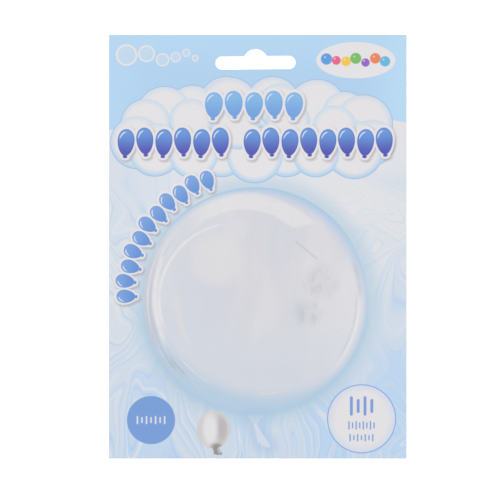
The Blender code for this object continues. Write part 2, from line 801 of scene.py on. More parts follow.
@dataclass(frozen=True)
class ArcCells(Cells):
    """Cells side by side round an arc."""

    middle: Spot
    radius: float
    facing: float
    spread: float
    count: int
    bob: float = 0.45

    def local(self, tree: ShaderTree, point: Socket) -> tuple[Num, Num]:
        """Across and outwards in the nearest cell of the arc.

        Args:
            tree: The print's nodes.
            point: The place on the page.

        Returns:
            Both distances from the cell's middle.
        """
        offset = tree.away(point, self.middle)
        ahead = tree.toward(offset, self.facing)
        aside = tree.toward(offset, self.facing - 90.0)
        step = math.radians(self.spread) / self.count
        turn = tree.math("ARCTAN2", aside, ahead) / step + self.count / 2
        index = tree.cell(turn, self.count)
        side = tree.odd(index) * 2.0 - 1.0
        out = tree.measure("LENGTH", offset) - self.radius - side * self.bob
        return (turn - index - 0.5) * (step * self.radius), out


@dataclass(frozen=True)
class Bead:
    """One little glossy balloon of a string: a tapered oval with a knot."""

    half: Spot
    top: Ink
    foot: Ink
    knot: Spot = (0.868, 0.62)
    knot_drop: float = 0.35
    edge: float = 0.85
    taper: float = 0.14
    soft: float = 0.26
    shadow_fall: Spot = (0.55, -0.7)
    shadow: Wash = Wash(SHADOW, Fade(0.75, -0.45, 0.62))
    rim: Fade = Fade(-0.55, 0.0, 0.45)
    light_from: Spot = (-0.62, 0.78)
    shade_edge: Fade = Fade(-0.6, 0.0)
    shade_side: Fade = Fade(0.2, -0.9, 0.5)
    shine_ink: Ink = Ink(236, 240, 248)
    shine_inset: float = 0.24
    shine_half: float = 0.16
    shine_soft: float = 0.22
    shine_side: Fade = Fade(0.60, 0.74, 0.9)

    def gap(self, tree: ShaderTree, across: Num, along: Num) -> tuple[Num, Num]:
        """Signed distance to the body alone, and to body and knot.

        Args:
            tree: The print's nodes.
            across: Distance to the right of the bead's middle.
            along: Distance above it.

        Returns:
            Both distances, negative inside.
        """
        level = along / self.half[1]
        wide = across / (level * self.taper + 1.0)
        body = (tree.measure("LENGTH", tree.join(wide / self.half[0], level)) - 1.0) * self.half[0]
        knot = tree.oval(tree.join(across, along), (0.0, -self.half[1] - self.knot_drop), self.knot)
        return body, body.least(knot)

    def paint(self, page: Page, cells: Cells) -> None:
        """Paint a shadow, a white edge, the body and its gloss in every cell.

        Args:
            page: The print.
            cells: Where the beads lie.
        """
        tree = page.tree
        _, fallen = self.gap(tree, *cells.local(tree, tree.away(page.point, self.shadow_fall)))
        page.wash(self.shadow, fallen - self.edge)
        across, along = cells.local(tree, page.point)
        body, whole = self.gap(tree, across, along)
        mask = whole.inside(self.soft)
        level = along / self.half[1]
        lit = across / self.half[0] * self.light_from[0] + level * self.light_from[1]
        page.lay(WHITE, (whole - self.edge).inside())
        page.lay(tree.blend(self.top, self.foot, level.ease(1.0, -1.0)), mask)
        page.lay(self.foot, self.rim.over(whole) * mask)
        page.lay(self.foot, self.shade_edge.over(body) * self.shade_side.over(lit) * mask)
        shine = (body + self.shine_inset * self.half[0]).band(self.shine_half, self.shine_soft)
        page.lay(self.shine_ink, shine * self.shine_side.over(lit))


@dataclass
class SphereSheet:
    """The pictured sphere's place on a page, with the distances that its layers share."""

    page: Page
    middle: Spot
    radius: float
    soft: float

    def __post_init__(self) -> None:
        """Work out the distances once."""
        self.tree = self.page.tree
        self.gap = self.circle((0.0, 0.0), 1.0)
        self.inside = self.gap.inside(self.soft)
        self.offset = self.tree.away(self.page.point, self.middle)
        self.across, self.along = self.tree.split(self.offset)

    def place(self, shares: Spot) -> Spot:
        """A spot given as shares of the radius from the middle."""
        return moved(self.middle, (shares[0] * self.radius, shares[1] * self.radius))

    def circle(self, shares: Spot, radius: float) -> Num:
        """Signed distance to a circle given as shares of the sphere's radius."""
        return self.tree.circle(self.page.point, self.place(shares), radius * self.radius)


@dataclass(frozen=True)
class SphereBody:
    """The glow round the sphere and its pale body, faintly mottled and tinted."""

    glow: Wash = Wash(Ink(184, 209, 226), Fade(9.0, 0.0, 0.7))
    low_glow: Wash = Wash(Ink(168, 201, 228), Fade(3.2, 0.2, 0.5))
    low_glow_levels: Fade = Fade(7.2, -14.8)
    base: Ink = Ink(217, 217, 223)
    cloud: Noise = Noise(0.07, 3.0, 0.8, (1.0, 0.4, 0.0))
    pale_cloud: Wash = Wash(Ink(222, 221, 226), Fade(0.46, 0.66))
    blue_cloud: Wash = Wash(Ink(211, 215, 226), Fade(0.48, 0.28, 0.8))
    left: Wash = Wash(Ink(212, 217, 228), Fade(0.0, -24.0, 0.45))
    right: Wash = Wash(Ink(228, 227, 230), Fade(10.0, 30.0, 0.5))
    right_foot: Fade = Fade(-28.0, -8.0)
    right_head: Fade = Fade(22.0, 10.0)
    low: Wash = Wash(Ink(214, 220, 230), Fade(-2.0, -24.0, 0.55))

    def paint(self, sheet: SphereSheet) -> None:
        """Paint the glow, the body and its tints.

        Args:
            sheet: The sphere's place on the page.
        """
        page, tree, inside = sheet.page, sheet.tree, sheet.inside
        page.wash(self.glow, sheet.gap)
        page.wash(self.low_glow, sheet.gap, self.low_glow_levels.over(sheet.along))
        cloud = self.cloud.over(tree, page.point)
        page.lay(self.blue_cloud.over(tree, self.pale_cloud.over(tree, self.base, cloud), cloud), inside)
        page.wash(self.left, sheet.across, inside)
        middle_height = self.right_foot.over(sheet.along) * self.right_head.over(sheet.along)
        page.wash(self.right, sheet.across, middle_height, inside)
        page.wash(self.low, sheet.along, inside)


@dataclass(frozen=True)
class Smudges:
    """A few faint grey reflections at the sphere's right, and one fine straight line."""

    upper: Spot = (0.58, 0.16)
    upper_fade: Fade = Fade(9.5, 2.0)
    lower: Spot = (0.48, -0.11)
    lower_fade: Fade = Fade(8.0, 1.5)
    bed: Ink = Ink(202, 203, 209)
    bed_share: float = 0.3
    fleck: Noise = Noise(0.24, 2.5, 0.8, (1.0, 0.55, 0.0))
    flecks: Wash = Wash(Ink(194, 195, 200), Fade(0.46, 0.70, 0.6))
    line: Wash = Wash(Ink(192, 192, 196), Fade(0.6, -0.1, 0.5))
    line_start: Spot = (0.37, 0.52)
    line_end: Spot = (0.55, 0.37)
    line_half: float = 0.15

    def paint(self, sheet: SphereSheet) -> None:
        """Paint two soft patches, flecks in them and the line.

        Args:
            sheet: The sphere's place on the page.
        """
        page, tree = sheet.page, sheet.tree
        upper = self.upper_fade.over(sheet.circle(self.upper, 0.0))
        lower = self.lower_fade.over(sheet.circle(self.lower, 0.0))
        patch = upper.most(lower)
        page.lay(self.bed, patch * self.bed_share)
        page.wash(self.flecks, self.fleck.over(tree, page.point), patch)
        ends = (sheet.place(self.line_start), sheet.place(self.line_end))
        page.wash(self.line, tree.stroke(page.point, *ends, self.line_half))


@dataclass(frozen=True)
class SphereLights:
    """The blue crescent low down, the white band high up, the blue shoulder and a soft spot."""

    crescent: Wash = Wash(Ink(183, 208, 230), Fade(-3.6, 3.8, 0.92))
    crescent_middle: Spot = (0.116, 0.26)
    crescent_radius: float = 1.117
    band: Wash = Wash(WHITE, Fade(-0.3, 1.0, 0.74))
    band_middle: Spot = (-0.10, 0.156)
    band_radius: float = 0.643
    lid: Fade = Fade(0.8, -0.8)
    lid_middle: Spot = (-0.146, 0.0)
    lid_radius: float = 0.966
    shelf: Fade = Fade(-0.9, 0.9)
    shelf_slope: float = 0.168
    shelf_level: float = 0.589
    left_end: Fade = Fade(-0.7, -0.35)
    right_end: Fade = Fade(0.56, 0.48)
    shoulder: Wash = Wash(Ink(188, 207, 232), Fade(-5.4, -0.4, 0.85))
    shoulder_side: Fade = Fade(0.62, 0.95)
    shoulder_facing: Spot = (0.67, 0.74)
    spot: Wash = Wash(Ink(225, 223, 225), Fade(13.0, 7.5, 0.8))
    spot_middle: Spot = (-0.34, 0.36)

    def paint(self, sheet: SphereSheet) -> None:
        """Paint the crescent, the band between its bounds, the shoulder and the spot.

        Args:
            sheet: The sphere's place on the page.
        """
        page, tree, inside = sheet.page, sheet.tree, sheet.inside
        page.wash(self.crescent, sheet.circle(self.crescent_middle, self.crescent_radius), inside)
        lid = self.lid.over(sheet.circle(self.lid_middle, self.lid_radius))
        shelf_height = sheet.across * self.shelf_slope + sheet.radius * self.shelf_level
        shelf = self.shelf.over(sheet.along - shelf_height)
        share = sheet.across / sheet.radius
        ends = self.left_end.over(share) * self.right_end.over(share)
        page.wash(self.band, sheet.circle(self.band_middle, self.band_radius), lid, shelf, ends)
        toward = tree.measure("DOT_PRODUCT", sheet.offset, (*self.shoulder_facing, 0.0))
        facing = toward / tree.measure("LENGTH", sheet.offset)
        page.wash(self.shoulder, sheet.gap, self.shoulder_side.over(facing), inside)
        page.wash(self.spot, sheet.circle(self.spot_middle, 0.0))


@dataclass(frozen=True)
class Strands:
    """Fine strands of light along the sphere's left edge."""

    band: Fade = Fade(-7.6, -4.2)
    ends: Fade = Fade(0.98, 0.55)
    turn: float = 0.16
    strand: Noise = Noise(1.0, 3.0, stretch=(2.4, 0.9, 0.0))
    grey: Wash = Wash(SPHERE_GREY, Fade(0.5, 0.38, 0.65))
    white: Wash = Wash(WHITE, Fade(0.52, 0.66, 0.7))

    def paint(self, sheet: SphereSheet) -> None:
        """Paint the strands in grey and white.

        Args:
            sheet: The sphere's place on the page.
        """
        tree = sheet.tree
        turn = tree.math("ARCTAN2", sheet.along, -sheet.across)
        strands = self.strand.over(tree, tree.join(turn, sheet.gap))
        band = self.band.over(sheet.gap) * sheet.inside * self.ends.over(abs(turn + self.turn))
        sheet.page.wash(self.grey, strands, band)
        sheet.page.wash(self.white, strands, band)


@dataclass(frozen=True)
class Streak:
    """A curved highlight or shade, in shares of the sphere's radius and in degrees."""

    radius: float
    half: float
    start: float
    end: float
    share: float
    ink: Ink = GLOSS
    shift: Spot = (0.0, 0.0)
    fade: float = 14.0
    soft: float = 1.4

    def strength(self, sheet: SphereSheet) -> Num:
        """How strongly the streak shows at a point of the page.

        Args:
            sheet: The sphere's place on the page.

        Returns:
            A number from 0 to the streak's share.
        """
        offset = sheet.tree.away(sheet.page.point, sheet.place(self.shift))
        reach = sheet.tree.measure("LENGTH", offset)
        half_turn = math.radians(self.end - self.start) / 2
        full = max(0.0, half_turn - math.radians(self.fade))
        toward = sheet.tree.toward(offset, (self.start + self.end) / 2) / reach
        window = toward.ease(math.cos(half_turn), math.cos(full))
        line = (reach - self.radius * sheet.radius).band(self.half, self.half * self.soft)
        return line * window * self.share


@dataclass(frozen=True)
class Streaks:
    """The sphere's curved highlights and shades, a little broken up."""

    wear: Noise = Noise(0.13)
    breaks: Fade = Fade(0.3, 0.56, 0.55, 0.45)
    streaks: tuple[Streak, ...] = (
        Streak(0.985, 0.8, 138.0, 214.0, 0.75, SPHERE_GREY),
        Streak(0.935, 0.7, 146.0, 216.0, 0.75, SPHERE_GREY),
        Streak(0.960, 0.3, 148.0, 198.0, 0.7),
        Streak(0.875, 0.9, 158.0, 206.0, 0.6),
        Streak(0.996, 0.75, 150.0, 212.0, 0.95, shift=(0.099, 0.038)),
        Streak(0.686, 0.5, 96.0, 206.0, 1.0, shift=(-0.167, 0.0)),
        Streak(0.840, 0.3, 212.0, 244.0, 0.6),
        Streak(0.938, 0.45, 205.0, 223.0, 0.8, STRAND_GREY, fade=6.0),
        Streak(0.910, 0.35, 211.0, 229.0, 0.7, STRAND_GREY, fade=6.0),
        Streak(0.695, 0.8, 174.0, 220.0, 0.6, SPHERE_BEIGE),
        Streak(0.942, 0.8, 0.0, 26.0, 0.75, SPHERE_GREY),
        Streak(0.934, 0.42, -42.0, 2.0, 1.0),
        Streak(0.904, 0.3, -38.0, 8.0, 0.6, SPHERE_GREY),
        Streak(0.846, 0.3, 271.0, 285.0, 0.7, SPHERE_BEIGE, fade=4.0),
    )

    def paint(self, sheet: SphereSheet) -> None:
        """Paint each streak.

        Args:
            sheet: The sphere's place on the page.
        """
        broken = self.breaks.over(self.wear.over(sheet.tree, sheet.page.point)) * sheet.inside
        for streak in self.streaks:
            sheet.page.lay(streak.ink, streak.strength(sheet) * broken)


@dataclass(frozen=True)
class SphereRim:
    """The sphere's blue rim: a soft shade inside it and a line on it, stronger at the top."""

    shade: Wash = Wash(Ink(182, 206, 229), Fade(-2.8, 0.0))
    shade_top: Fade = Fade(17.2, 37.2, 0.4, 0.6)
    shade_right: Fade = Fade(-38.9, 1.1, 0.35, 0.65)
    line: Ink = Ink(164, 199, 227)
    line_half: float = 0.3
    line_soft: float = 0.6
    line_top: Fade = Fade(17.2, 37.2, 0.5, 0.3)

    def paint_shade(self, sheet: SphereSheet) -> None:
        """Paint the shade inside the rim."""
        strong = self.shade_top.over(sheet.along) * self.shade_right.over(sheet.across)
        sheet.page.wash(self.shade, sheet.gap, sheet.inside, strong)

    def paint_line(self, sheet: SphereSheet) -> None:
        """Paint the line on the rim."""
        line = sheet.gap.band(self.line_half, self.line_soft)
        sheet.page.lay(self.line, line * self.line_top.over(sheet.along))


@dataclass(frozen=True)
class GlassSphere:
    """A large clear sphere: a blue rim, a crescent of light and curved streaks."""

    middle: Spot = (-1.1, -21.2)
    radius: float = 44.4
    soft: float = 0.5
    body: SphereBody = SphereBody()
    smudges: Smudges = Smudges()
    lights: SphereLights = SphereLights()
    strands: Strands = Strands()
    streaks: Streaks = Streaks()
    rim: SphereRim = SphereRim()

    def paint(self, page: Page) -> None:
        """Paint the sphere's layers in order.

        Args:
            page: The print.
        """
        sheet = SphereSheet(page, self.middle, self.radius, self.soft)
        for layer in (self.body, self.smudges, self.lights):
            layer.paint(sheet)
        self.rim.paint_shade(sheet)
        self.strands.paint(sheet)
        self.streaks.paint(sheet)
        self.rim.paint_line(sheet)


@dataclass(frozen=True)
class WhiteNeck:
    """The pale neck of the pictured sphere, whose folds fan out above and below a pinch."""

    pinch: Spot = (-0.9, -70.9)
    flare: tuple[Limb, ...] = (
        Limb((0.0, 0.0), (-2.5, 3.8), 0.35),
        Limb((0.0, 0.0), (-0.9, 3.7), 0.5),
        Limb((0.0, 0.0), (0.8, 3.7), 0.5),
        Limb((0.0, 0.0), (2.5, 3.8), 0.35),
    )
    tail: tuple[Limb, ...] = (
        Limb((0.0, 0.0), (1.4, -6.6), 0.5),
        Limb((0.0, 0.0), (2.9, -7.4), 0.75),
        Limb((0.0, 0.0), (4.3, -7.9), 0.7),
        Limb((0.0, 0.0), (5.4, -8.2), 0.5),
    )
    bed: Wash = Wash(Ink(176, 202, 232), Fade(5.5, 0.0, 0.6))
    flare_folds: Wash = Wash(Ink(206, 222, 235), Fade(0.35, -0.35, 0.55))
    tail_folds: Wash = Wash(Ink(216, 224, 237), Fade(0.3, -0.25, 0.9))

    def paint(self, page: Page) -> None:
        """Paint a soft blue bed, then the pale folds.

        Args:
            page: The print.
        """
        flare = nearest(limb.gap(page, self.pinch) for limb in self.flare)
        tail = nearest(limb.gap(page, self.pinch) for limb in self.tail)
        page.wash(self.bed, flare.least(tail))
        page.wash(self.flare_folds, flare)
        page.wash(self.tail_folds, tail)


@dataclass(frozen=True)
class BlueDisc:
    """A plain blue disc with a row of short white strokes."""

    middle: Spot = (-42.3, -68.8)
    radius: float = 9.55
    ink: Ink = Ink(118, 159, 219)
    soft: float = 0.35
    row: StrokeRow = StrokeRow(-6.3, 0.0, 1.8, 7, 0.3, 1.35, 0.45)

    def paint(self, page: Page) -> None:
        """Paint the disc and its strokes."""
        page.lay(self.ink, page.tree.circle(page.point, self.middle, self.radius).inside(self.soft))
        page.lay(WHITE, self.row.gap(page, self.middle).inside())


@dataclass(frozen=True)
class PearlBalloon:
    """A small pearly balloon with a knotted mouth."""

    middle: Spot = (-17.6, -72.6)
    half: Spot = (6.5, 7.5)
    soft: float = 0.4
    pearl: Ink = Ink(212, 208, 209)
    shade: SoftOval = SoftOval((3.6, 0.4), (1.9, 5.2), Wash(Ink(180, 176, 178), Fade(1.7, -1.2, 0.7)))
    rim: Wash = Wash(Ink(218, 209, 205), Fade(-1.5, 0.0, 0.85))
    light: SoftOval = SoftOval((-1.3, 0.3), (2.5, 5.6), Wash(GLOSS, Fade(1.5, -1.0, 0.95)))
    throat: SoftOval = SoftOval((1.3, -6.6), (1.6, 0.9), Wash(Ink(136, 126, 120), Fade(1.1, -0.6, 0.8)))
    mouth: tuple[Limb, ...] = (
        Limb((1.0, -7.7), (1.7, -8.9), 1.15),
        Limb((0.6, -9.3), (3.0, -9.5), 0.5),
    )
    mouth_ink: Ink = Ink(150, 146, 143)
    mouth_soft: float = 0.45
    fold: Limb = Limb((1.9, -7.7), (2.4, -9.2), 0.3)
    fold_wash: Wash = Wash(Ink(196, 194, 193), Fade(0.4, -0.2, 0.8))

    def paint(self, page: Page) -> None:
        """Paint the body, its shade and its light, then the mouth.

        Args:
            page: The print.
        """
        body = page.tree.oval(page.point, self.middle, self.half)
        mask = body.inside(self.soft)
        page.lay(self.pearl, mask)
        self.shade.paint(page, self.middle, mask)
        page.wash(self.rim, body, mask)
        self.light.paint(page, self.middle, mask)
        self.throat.paint(page, self.middle, mask)
        mouth = nearest(limb.gap(page, self.middle) for limb in self.mouth)
        page.lay(self.mouth_ink, mouth.inside(self.mouth_soft))
        page.wash(self.fold_wash, self.fold.gap(page, self.middle))


@dataclass(frozen=True)
class SizeBadge:
    """A pale round badge with a thin ring and rows of strokes."""

    middle: Spot = (41.2, -68.3)
    radius: float = 13.5
    glow: Wash = Wash(Ink(207, 219, 240), Fade(-3.6, 0.4, 0.78))
    ring: Ink = Ink(131, 166, 226)
    ring_half: float = 0.2
    ring_soft: float = 0.24
    mark: Ink = Ink(122, 158, 220)
    mark_soft: float = 0.28
    rows: tuple[StrokeRow, ...] = (
        StrokeRow(-5.4, 5.1, 2.7, 4, 0.58, 3.3, 1.1),
        StrokeRow(-5.7, -2.6, 1.42, 8, 0.27, 1.45, 0.5),
        StrokeRow(-5.3, -7.5, 1.5, 7, 0.27, 1.2, 0.45),
    )

    def paint(self, page: Page) -> None:
        """Paint the badge, its inner glow, its ring and its strokes.

        Args:
            page: The print.
        """
        gap = page.tree.circle(page.point, self.middle, self.radius)
        inside = gap.inside()
        page.lay(WHITE, inside)
        page.wash(self.glow, gap, inside)
        page.lay(self.ring, gap.band(self.ring_half, self.ring_soft))
        marks = nearest(row.gap(page, self.middle) for row in self.rows)
        page.lay(self.mark, marks.inside(self.mark_soft))


@dataclass(frozen=True)
class BubbleTrail:
    """A wavy trail of small white bubbles that shrink to the right."""

    start: Spot = (-52.0, 75.4)
    count: int = 6
    radius: float = 3.9
    shrink: float = 0.78
    wave: float = 1.5
    wave_turn: float = 1.9
    wave_start: float = 0.4
    pitch: float = 1.8
    spacing: float = 0.9
    line: float = 0.14
    line_by_radius: float = 0.06
    heart_share: float = 0.28

    def paint(self, page: Page) -> None:
        """Paint each bubble as a ring with a pale heart.

        Args:
            page: The print.
        """
        x = self.start[0]
        hearts = []
        rings = []
        for step in range(self.count):
            radius = self.radius * self.shrink ** step
            y = self.start[1] + self.wave * math.sin(self.wave_turn * step + self.wave_start)
            gap = page.tree.circle(page.point, (x, y), radius)
            hearts.append(gap)
            rings.append(abs(gap) - (self.line + self.line_by_radius * radius))
            x += radius * self.pitch + self.spacing
        page.lay(WHITE, nearest(hearts).inside() * self.heart_share)
        page.lay(WHITE, nearest(rings).inside())


@dataclass(frozen=True)
class ConfettiPlate:
    """A white oval plate with a row of coloured dots."""

    middle: Spot = (38.9, 73.9)
    half: Spot = (15.7, 7.2)
    soft: float = 0.35
    inks: tuple[Ink, ...] = (
        Ink(92, 158, 226),
        Ink(232, 98, 138),
        Ink(246, 200, 74),
        Ink(122, 190, 96),
        Ink(150, 96, 196),
        Ink(238, 132, 84),
        Ink(98, 184, 226),
    )
    reach: float = 11.6
    wave: float = 0.9
    wave_turn: float = 2.6
    wave_start: float = 0.6
    radius: float = 1.95
    sway: float = 0.3
    sway_turn: float = 2.3
    light_shift: Spot = (-0.6, 0.7)
    light_radius: float = 0.35
    light_soft: float = 0.4
    light_share: float = 0.7

    def paint(self, page: Page) -> None:
        """Paint the plate, then a dot of each colour with a light on it.

        Args:
            page: The print.
        """
        tree, point = page.tree, page.point
        page.lay(WHITE, tree.oval(point, self.middle, self.half).inside(self.soft))
        for step, ink in enumerate(self.inks):
            share = step / (len(self.inks) - 1) * 2.0 - 1.0
            up = self.wave * math.sin(self.wave_turn * step + self.wave_start)
            spot = moved(self.middle, (share * self.reach, up))
            radius = self.radius + self.sway * math.cos(self.sway_turn * step)
            page.lay(ink, tree.circle(point, spot, radius).inside(self.soft))
            light = tree.circle(point, moved(spot, self.light_shift), self.light_radius)
            page.lay(WHITE, light.inside(self.light_soft) * self.light_share)


@dataclass(frozen=True)
class CoatedPrint:
    """Satin coated stock: soft gloss, a fine grain and a faint uneven coat."""

    roughness: float = 0.42
    spread: float = 0.12
    coat: float = 0.12
    coat_roughness: float = 0.28
    specular: float = 0.4
    cloud: Noise = Noise(60.0, 3.0)
    grain: Noise = Noise(1500.0, 3.0)
    tooth: Wash = Wash(Ink(160, 168, 182), Fade(0.5, 0.72, 0.07))
    relief_by_cloud: float = 0.6
    relief: float = 0.12
    relief_depth: float = 0.00004

    def finish(self, tree: ShaderTree, color: Socket) -> bpy.types.Material:
        """Dress the shader with a colour, gloss and grain.

        Args:
            tree: The print's nodes.
            color: The printed colour.

        Returns:
            The finished material.
        """
        point = tree.object_point()
        cloud = self.cloud.over(tree, point)
        grain = self.grain.over(tree, point)
        tree.dress({
            "Base Color": self.tooth.over(tree, color, grain),
            "Roughness": (cloud - 0.5) * self.spread + self.roughness,
            "Coat Weight": self.coat,
            "Coat Roughness": self.coat_roughness,
            "Specular IOR Level": self.specular,
        })
        tree.bump(grain + cloud * self.relief_by_cloud, self.relief, self.relief_depth)
        return tree.material


@dataclass(frozen=True)
class CutEdge:
    """The bare white core that a cut edge of the stock shows."""

    light: Ink = Ink(226, 224, 222)
    dark: Wash = Wash(Ink(196, 190, 184), Fade(0.42, 0.68))
    fibre: Noise = Noise(1.0, 3.0, stretch=(900.0, 900.0, 6000.0))
    roughness: float = 0.78
    spread: float = 0.1
    relief: float = 0.3
    relief_depth: float = 0.00003

    def material(self) -> bpy.types.Material:
        """Fibrous board along a cut.

        Returns:
            The finished material.
        """
        tree = ShaderTree("cut_edge")
        fibre = self.fibre.over(tree, tree.object_point())
        color = self.dark.over(tree, self.light, fibre)
        tree.dress({"Base Color": color, "Roughness": fibre * self.spread + self.roughness})
        tree.bump(fibre, self.relief, self.relief_depth)
        return tree.material


@dataclass(frozen=True)
class FrontPrint:
    """The whole front: ground, header, bank, sphere, strings of little balloons and small motifs."""

    arc_bead: Bead = Bead((2.6, 3.75), Ink(124, 166, 226), Ink(98, 146, 216), (0.7, 0.5), edge=0.7)
    upper_bead: Bead = Bead((3.5, 5.1), Ink(134, 188, 234), Ink(112, 162, 224))
    lower_bead: Bead = Bead((3.32, 5.3), Ink(104, 156, 224), Ink(76, 80, 180))
    arc: ArcCells = ArcCells(GlassSphere.middle, GlassSphere.radius + 7.2, 145.0, 73.4, 11)
    upper_row: RowCells = RowCells(-21.4, 56.4, 7.95, 5)
    lower_rows: tuple[RowCells, ...] = (
        RowCells(-56.0, 41.6, 7.5, 6),
        RowCells(-6.0, 41.6, 7.5, 8),
    )

    def material(self) -> bpy.types.Material:
        """Paint the front's layers in order.

        Returns:
            The finished material.
        """
        tree = ShaderTree("front_print")
        point = tree.page_point()
        page = Page(tree, point, Marbling().ground(tree, point))
        for motif in (Header(), GlassSphere(), WhiteNeck(), PuffBank()):
            motif.paint(page)
        self.arc_bead.paint(page, self.arc)
        self.upper_bead.paint(page, self.upper_row)
        for row in self.lower_rows:
            self.lower_bead.paint(page, row)
        for motif in (BlueDisc(), PearlBalloon(), SizeBadge(), BubbleTrail(), ConfettiPlate()):
            motif.paint(page)
        return CoatedPrint().finish(tree, page.color)


@dataclass(frozen=True)
class BackPrint:
    """The plainer back: pale paint and a white panel with rows of strokes."""

    panel_middle: Spot = (0.0, -8.0)
    panel_half: Spot = (44.0, 36.0)
    panel_corner: float = 5.0
    panel_soft: float = 0.35
    line: Ink = Ink(150, 175, 220)
    line_inset: float = 1.6
    line_half: float = 0.16
    line_soft: float = 0.24
    mark: Ink = Ink(122, 138, 176)
    mark_soft: float = 0.28
    row_lengths: tuple[int, ...] = (30, 34, 33, 26, 0, 34, 32, 20)
    row_start: float = -37.0
    row_top: float = 28.0
    row_pitch: float = 7.0
    stroke_pitch: float = 2.15
    stroke_half: float = 0.26
    stroke_tall: float = 1.5
    stroke_short: float = 0.6

    def rows(self) -> list[StrokeRow]:
        """The panel's rows of strokes; a length of 0 leaves a bare line.

        Returns:
            The rows from the top down.
        """
        sizes = (self.stroke_half, self.stroke_tall, self.stroke_short)
        return [
            StrokeRow(self.row_start, self.row_top - self.row_pitch * step, self.stroke_pitch, count, *sizes)
            for step, count in enumerate(self.row_lengths)
            if count
        ]

    def material(self) -> bpy.types.Material:
        """Paint the back's layers; the page is turned over, so it reads the right way round.

        Returns:
            The finished material.
        """
        tree = ShaderTree("back_print")
        point = tree.vector("MULTIPLY", tree.page_point(), (-1.0, 1.0, 0.0))
        page = Page(tree, point, Marbling().ground(tree, point))
        Header().paint(page)
        panel = tree.oblong(point, self.panel_middle, self.panel_half, self.panel_corner)
        page.lay(WHITE, panel.inside(self.panel_soft))
        page.lay(self.line, (panel + self.line_inset).band(self.line_half, self.line_soft))
        marks = nearest(row.gap(page, self.panel_middle) for row in self.rows())
        page.lay(self.mark, marks.inside(self.mark_soft))
        return CoatedPrint().finish(tree, page.color)


def eased(share: np.ndarray) -> np.ndarray:
    """Ease values from 0 to 1 with level ends."""
    share = np.clip(share, 0.0, 1.0)
    return share ** 3 * (share * (share * 6.0 - 15.0) + 10.0)


@dataclass(frozen=True)
class PacketSize:
    """The packet's own sizes, read from the frame's box or given."""

    width: float
    height: float
    thickness: float
    edge: float = 0.0006
    side_border: float = 0.0035
    foot_border: float = 0.0045
    header: float = 0.034
    side_falloff: float = 0.036
    foot_falloff: float = 0.046
    head_falloff: float = 0.044
    seam: float = 0.00031
    seam_gap: float = 0.00002
    lap: float = 0.0001
    lap_place: float = 0.012
    slot_shift: float = -0.0009
    slot_drop: float = 0.0111

    @classmethod
    def from_frame(cls) -> "PacketSize":
        """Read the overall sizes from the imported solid."""
        low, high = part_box("packet")
        return cls(high.x - low.x, high.y - low.y, high.z - low.z)

    @property
    def slot_middle(self) -> Spot:
        """Middle of the hang slot's bar."""
        return (self.slot_shift, self.height / 2 - self.slot_drop)

    def swell(self, x: np.ndarray, y: np.ndarray) -> np.ndarray:
        """Height of the front above its edge.

        Args:
            x: Places across the packet.
            y: Places along it.

        Returns:
            A height for each place.
        """
        side = (self.width / 2 - self.side_border - np.abs(x)) / self.side_falloff
        foot = (y + self.height / 2 - self.foot_border) / self.foot_falloff
        head = (self.height / 2 - self.header - y) / self.head_falloff
        return (self.thickness - self.edge) * eased(side) * eased(foot) * eased(head)


class Element(Enum):
    """What is selected in edit mode, with its name in a bmesh."""

    EDGE = "edges"
    FACE = "faces"


def deselect() -> None:
    """Leave nothing selected."""
    bpy.ops.object.select_all(action="DESELECT")


def make_active(piece: bpy.types.Object) -> None:
    """Select one piece alone.

    Args:
        piece: The piece that is selected and made active.
    """
    deselect()
    piece.select_set(True)
    bpy.context.view_layer.objects.active = piece


def read_points(mesh: bpy.types.Mesh) -> np.ndarray:
    """Read where a mesh's vertices are.

    Args:
        mesh: The mesh.

    Returns:
        Rows of x, y and z.
    """
    flat = np.zeros(len(mesh.vertices) * 3)
    mesh.vertices.foreach_get("co", flat)
    return flat.reshape(-1, 3)


def write_points(mesh: bpy.types.Mesh, points: np.ndarray) -> None:
    """Move a mesh's vertices."""
    mesh.vertices.foreach_set("co", points.ravel())
    mesh.update()


def select_where(piece: bpy.types.Object, element: Element, wanted: Callable[..., bool]) -> None:
    """Enter edit mode with only the edges or faces that a test takes.

    Args:
        piece: The active mesh object.
        element: What is selected.
        wanted: Takes a bmesh edge or face and says whether it is selected.
    """
    bpy.ops.object.mode_set(mode="EDIT")
    bpy.ops.mesh.select_mode(type=element.name)
    bpy.ops.mesh.select_all(action="DESELECT")
    cage = bmesh.from_edit_mesh(piece.data)
    for part in getattr(cage, element.value):
        if wanted(part):
            part.select_set(True)
    cage.select_flush_mode()
    bmesh.update_edit_mesh(piece.data)


def extrude_up(rise: float) -> None:
    """Extrude what is selected in edit mode upwards, or down where the rise is negative."""
    bpy.ops.mesh.extrude_region_move(TRANSFORM_OT_translate={"value": (0.0, 0.0, rise)})


def face_outwards() -> None:
    """Point every face outwards and leave edit mode."""
    bpy.ops.mesh.select_all(action="SELECT")
    bpy.ops.mesh.normals_make_consistent(inside=False)
    bpy.ops.object.mode_set(mode="OBJECT")


